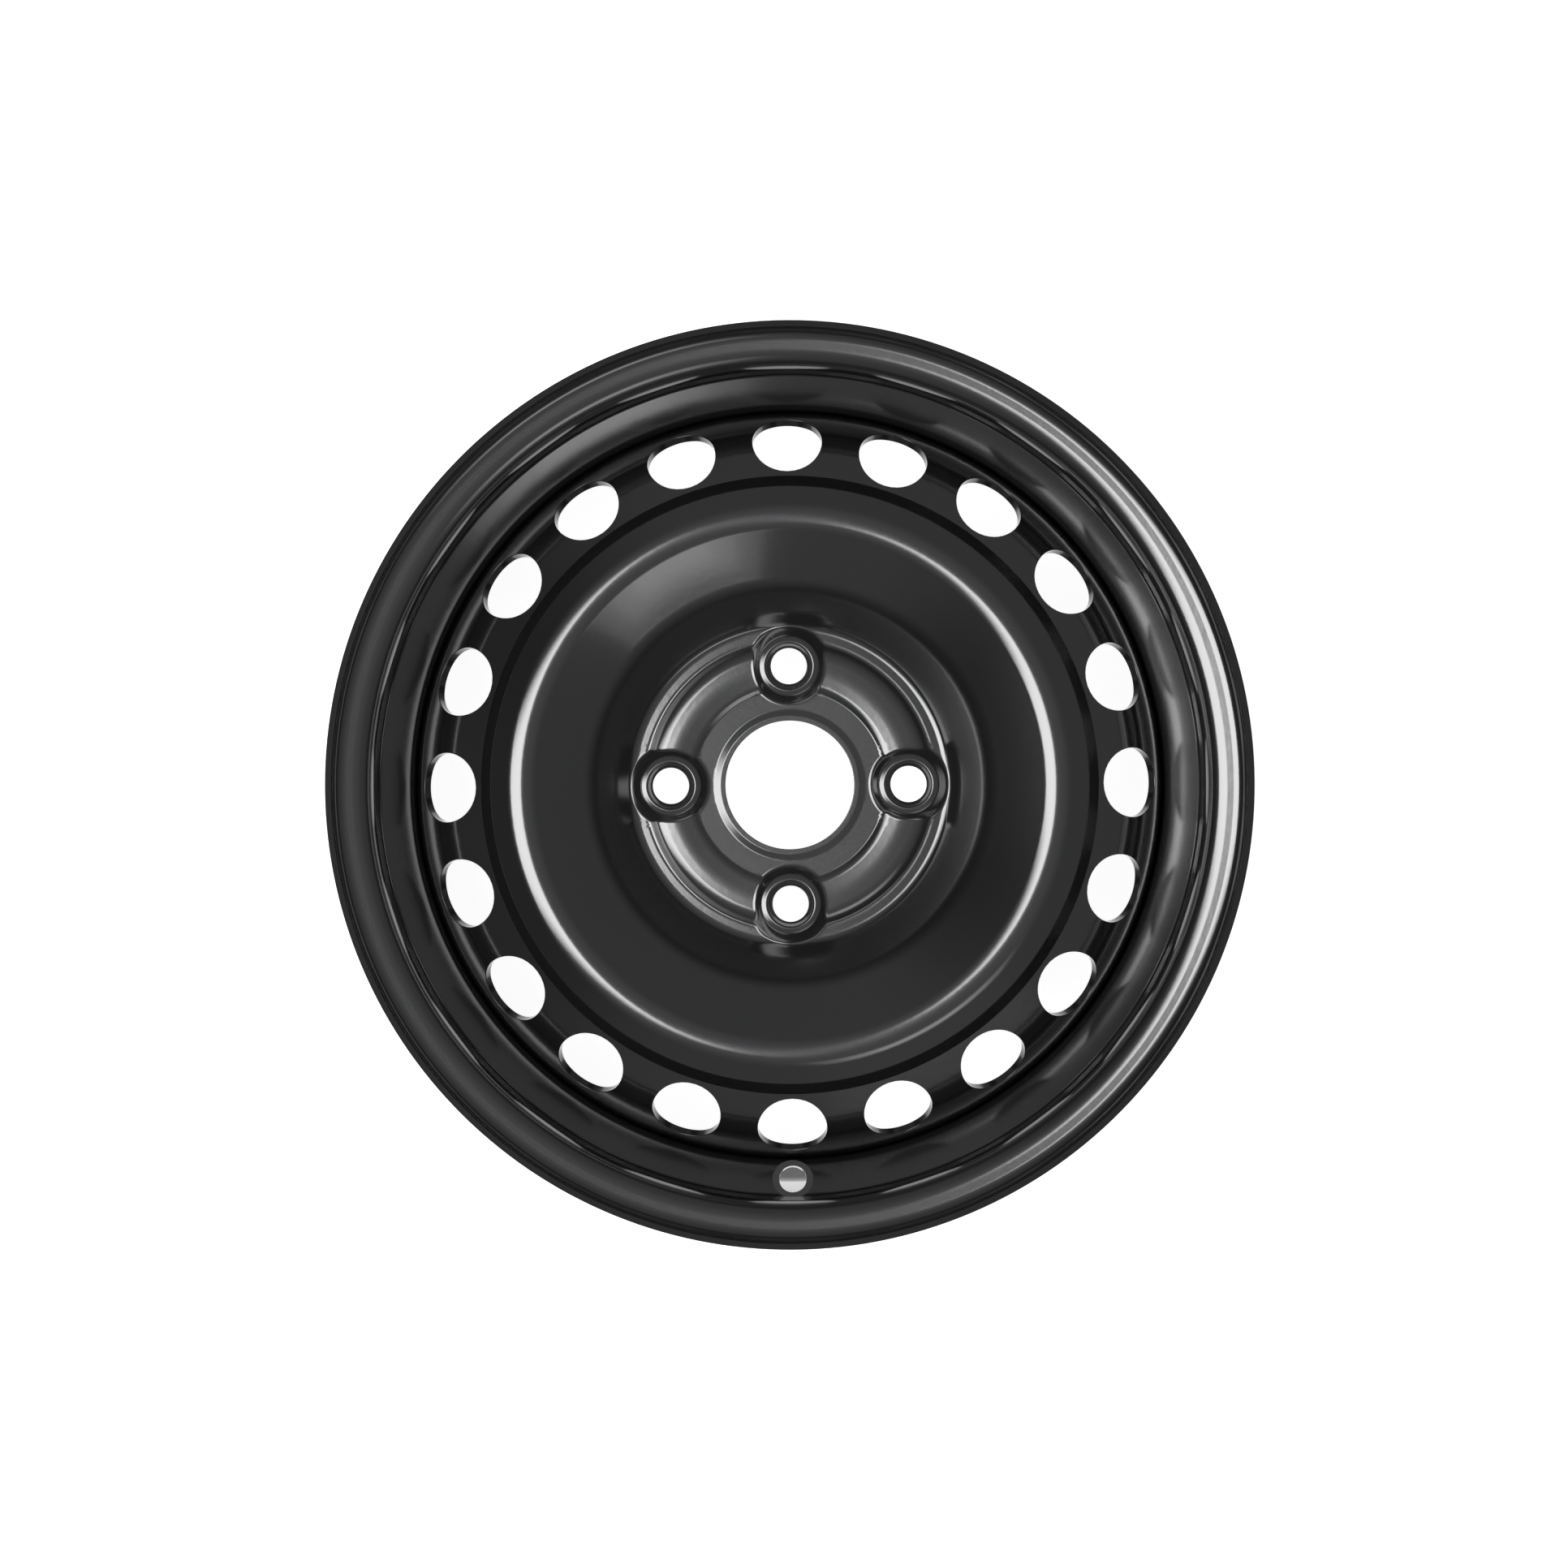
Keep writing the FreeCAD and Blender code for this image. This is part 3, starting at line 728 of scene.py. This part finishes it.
disc_sheet = wheel_disc()
print("disc: grids", len(disc_sheet.faces), "points", disc_sheet.count)

# %% [markdown]
# ## Weld beads
#
# Four runs of fillet weld join the disc's flange to the well, on the inboard side. A machine
# weld freezes drop by drop, so its face is crossed by small, even ripples that bow along the
# run, and it is round at its start and its end. A formula gives all of that in one grid.

# %% Welds
WELD_SPOT = np.array(DISC_LINE[-1][:2])
WELD_LEG, WELD_ARC = 3.3, 44.0
WELD_SWELL, WELD_SLANT = 0.45, 0.7
WELD_COLUMNS, WELD_ROWS = 361, 11
RIPPLE_PITCH, RIPPLE_HEIGHT, RIPPLE_BOW = 2.2, 0.13, 1.1


def weld_beads():
    """Rippled fillet beads in the corner between flange and well."""
    sheet = Sheet()
    turn = np.linspace(0, WELD_ARC, WELD_COLUMNS)
    length = np.radians(turn) * WELD_SPOT[0]
    grown = np.clip(np.minimum(length, length[-1] - length) / WELD_LEG, 0, 1)
    size = np.sqrt(grown * (2 - grown))
    across = np.linspace(0, 1, WELD_ROWS)[:, None]
    bow = np.sin(np.pi * across)
    ripple = RIPPLE_HEIGHT * np.sin(2 * np.pi * (length - RIPPLE_BOW * bow) / RIPPLE_PITCH)
    swell = (WELD_SWELL + ripple) * bow
    r = WELD_SPOT[0] - size * (WELD_LEG * (1 - across) + swell * WELD_SLANT)
    z = WELD_SPOT[1] - size * (WELD_LEG * across + swell * WELD_SLANT)
    root = np.ones_like(turn)
    r = np.vstack([root * WELD_SPOT[0], r, root * WELD_SPOT[0]])
    z = np.vstack([root * WELD_SPOT[1], z, root * WELD_SPOT[1]])
    c, s = np.cos(np.radians(turn)), np.sin(np.radians(turn))
    points = np.stack([r * c, r * s, z], axis=-1)
    normals = np.cross(np.gradient(points, axis=0), np.gradient(points, axis=1))
    normals[0], normals[-1] = np.array([0, 0, 1]), np.stack([c, s, 0 * c], axis=-1)
    normals /= np.maximum(np.linalg.norm(normals, axis=-1), TINY)[..., None]
    sheet.copies(points, normals, lambda p, n: sheet.grid(p, n, wrap=False), QUARTERS)
    return sheet


weld_sheet = weld_beads()
print("welds: runs", len(weld_sheet.faces), "points", weld_sheet.count)

# %% [markdown]
# ## Standing in for the measured nodes
#
# Each fine mesh takes the place of the node of the same name and rides on the one body.

# %% Pieces
sheets = {"rim_band": rim_sheet, "wheel_disc": disc_sheet, "weld_beads": weld_sheet}
for name, sheet in sheets.items():
    piece = sheet.build(name + "_fine", paint)
    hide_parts(name)
    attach(piece, "root")

# %% [markdown]
# ## Floor
#
# The wheel lies on its rear flange. The floor is a pale matt sheet that keeps the wheel's
# shadow. Seen by the camera or in a reflection it also glows a little, so the holes show white
# paper below, and none of that glow lights the wheel.

# %% Floor
FLOOR_PAPER = "#c8c8c8"
FLOOR_HALF = 12.0
FLOOR_GLOW = 0.93


def pale_floor():
    """A matt white sheet that glows for the camera and in reflections, and lights nothing."""
    material, output = new_material("matt_white_floor")
    tree = material.node_tree
    ray = add(tree, "ShaderNodeLightPath")
    matt = add(tree, "ShaderNodeBsdfDiffuse", inputs={"Color": linear(FLOOR_PAPER)})
    glow = add(tree, "ShaderNodeEmission", inputs={"Strength": FLOOR_GLOW})
    seen = ray.outputs["Is Camera Ray"]
    for kind in ("Is Glossy Ray", "Is Transmission Ray"):
        seen = add(tree, "ShaderNodeMath", {"operation": "MAXIMUM"},
                   links={0: seen, 1: ray.outputs[kind]}).outputs["Value"]
    dark = add(tree, "ShaderNodeEmission", inputs={"Strength": 0.0})
    shown = add(tree, "ShaderNodeMixShader",
                links={"Fac": seen, 1: dark.outputs["Emission"], 2: glow.outputs["Emission"]})
    both = add(tree, "ShaderNodeAddShader",
               links={0: matt.outputs["BSDF"], 1: shown.outputs["Shader"]})
    tree.links.new(both.outputs["Shader"], output.inputs["Surface"])
    return material


low = cad_box[0][2]
mesh = bpy.data.meshes.new("floor")
corners = [(x * FLOOR_HALF, y * FLOOR_HALF, low) for x, y in ((-1, -1), (1, -1), (1, 1), (-1, 1))]
mesh.from_pydata(corners, [], [(0, 1, 2, 3)])
floor = bpy.data.objects.new("floor", mesh)
bpy.context.collection.objects.link(floor)
floor.data.materials.append(pale_floor())
print("floor at", low)

# %% [markdown]
# ## Soft boxes
#
# One broad soft box stands to the left, from just beside the camera down to about fifty
# degrees. Pressed steel shows it as narrow bright bands wherever a bend turns towards it. A
# smaller, weaker one fills from the lower right. A real box is brightest in its middle, so each
# is three lamps, one inside the other, set a little apart so that none hides the next.

# %% Soft boxes
LAMP_GAP = 0.01


def soft_box(name, across, lean, far, sides, radiance):
    """Nested area lamps that face the wheel; angles in degrees, sides as seen from the wheel."""
    turn, tilt = math.radians(across), math.radians(lean)
    way = Vector((math.cos(turn) * math.sin(tilt), math.sin(turn) * math.sin(tilt), math.cos(tilt)))
    side = Vector((-math.sin(turn), math.cos(turn), 0))
    facing = Matrix((side.cross(way), side, way)).transposed().to_quaternion()
    for number, (wide, high) in enumerate(sides):
        lamp = bpy.data.lights.new("%s_%d" % (name, number), "AREA")
        lamp.shape = "RECTANGLE"
        lamp.size = 2 * far * math.tan(math.radians(wide / 2))
        lamp.size_y = 2 * far * math.tan(math.radians(high / 2))
        lamp.energy = radiance / len(sides) * math.pi * lamp.size * lamp.size_y
        holder = bpy.data.objects.new(lamp.name, lamp)
        holder.matrix_world = Matrix.LocRotScale(way * (far + number * LAMP_GAP), facing, None)
        bpy.context.collection.objects.link(holder)


soft_box("main_soft_box", across=187, lean=26.0, far=4.0,
         sides=((41.6, 20), (41.6, 28), (41.6, 36)), radiance=7.8)
soft_box("fill_soft_box", across=-62, lean=51, far=1.6,
         sides=((9, 16), (13, 26), (17, 36)), radiance=2.2)
print("lamps", sorted(lamp.name for lamp in bpy.data.lights))

# %% [markdown]
# ## The room
#
# Black paint mirrors the whole room, so the room matters as much as the lamps. It is grey and
# dim: palest overhead, darker towards the horizon and darkest beyond the soft box. Each row
# below fades the room along one axis, and the three fades are multiplied.

# %% Room
ROOM_WHITE = "#fbfcff"
ROOM_FADES = (
    {"axis": "Z", "From Min": 0.55, "From Max": 1.0, "To Min": 0.27, "To Max": 0.45},
    {"axis": "Z", "From Min": 0.1, "From Max": 0.45, "To Min": 0.2, "To Max": 1.0},
    {"axis": "X", "From Min": -0.85, "From Max": -0.3, "To Min": 0.25, "To Max": 1.0},
)


def grey_room():
    """A dim room whose strength is the product of its fades."""
    world = bpy.data.worlds.new("grey_room")
    world.use_nodes = True
    tree = world.node_tree
    tree.nodes.clear()
    way = add(tree, "ShaderNodeSeparateXYZ",
              links={"Vector": add(tree, "ShaderNodeTexCoord").outputs["Generated"]})
    level = None
    for fade in ROOM_FADES:
        limits = {name: value for name, value in fade.items() if name != "axis"}
        faded = add(tree, "ShaderNodeMapRange", {"interpolation_type": "SMOOTHSTEP"}, limits,
                    {"Value": way.outputs[fade["axis"]]}).outputs["Result"]
        if level is not None:
            faded = add(tree, "ShaderNodeMath", {"operation": "MULTIPLY"},
                        links={0: level, 1: faded}).outputs["Value"]
        level = faded
    room = add(tree, "ShaderNodeBackground", inputs={"Color": linear(ROOM_WHITE)},
               links={"Strength": level})
    add(tree, "ShaderNodeOutputWorld", links={"Surface": room.outputs["Background"]})
    return world


bpy.context.scene.world = grey_room()
print("room fades", len(ROOM_FADES))

# %% [markdown]
# ## Camera
#
# The photographer stood far above the wheel with a long lens, so the wheel looks almost flat
# and the bore, bowl and flanges stay concentric. The wheel sits a little off the middle and is
# turned by under half a degree.

# %% Camera
HEIGHT = 7.045
LENS = 384.0
SENSOR = 36.0
FAR_CLIP = 50.0
OFF_RIGHT = 2.42 * MM
OFF_DOWN = 0.41 * MM
ROLL = -0.45

camera_data = bpy.data.cameras.new("camera")
camera_data.lens = LENS
camera_data.sensor_width = SENSOR
camera_data.clip_end = FAR_CLIP
camera = bpy.data.objects.new("camera", camera_data)
camera.location = (-OFF_RIGHT, OFF_DOWN, HEIGHT)
camera.rotation_euler = (0, 0, math.radians(ROLL))
bpy.context.collection.objects.link(camera)
scene = bpy.context.scene
scene.camera = camera
scene.view_settings.view_transform = "Standard"
print("camera at", tuple(camera.location))
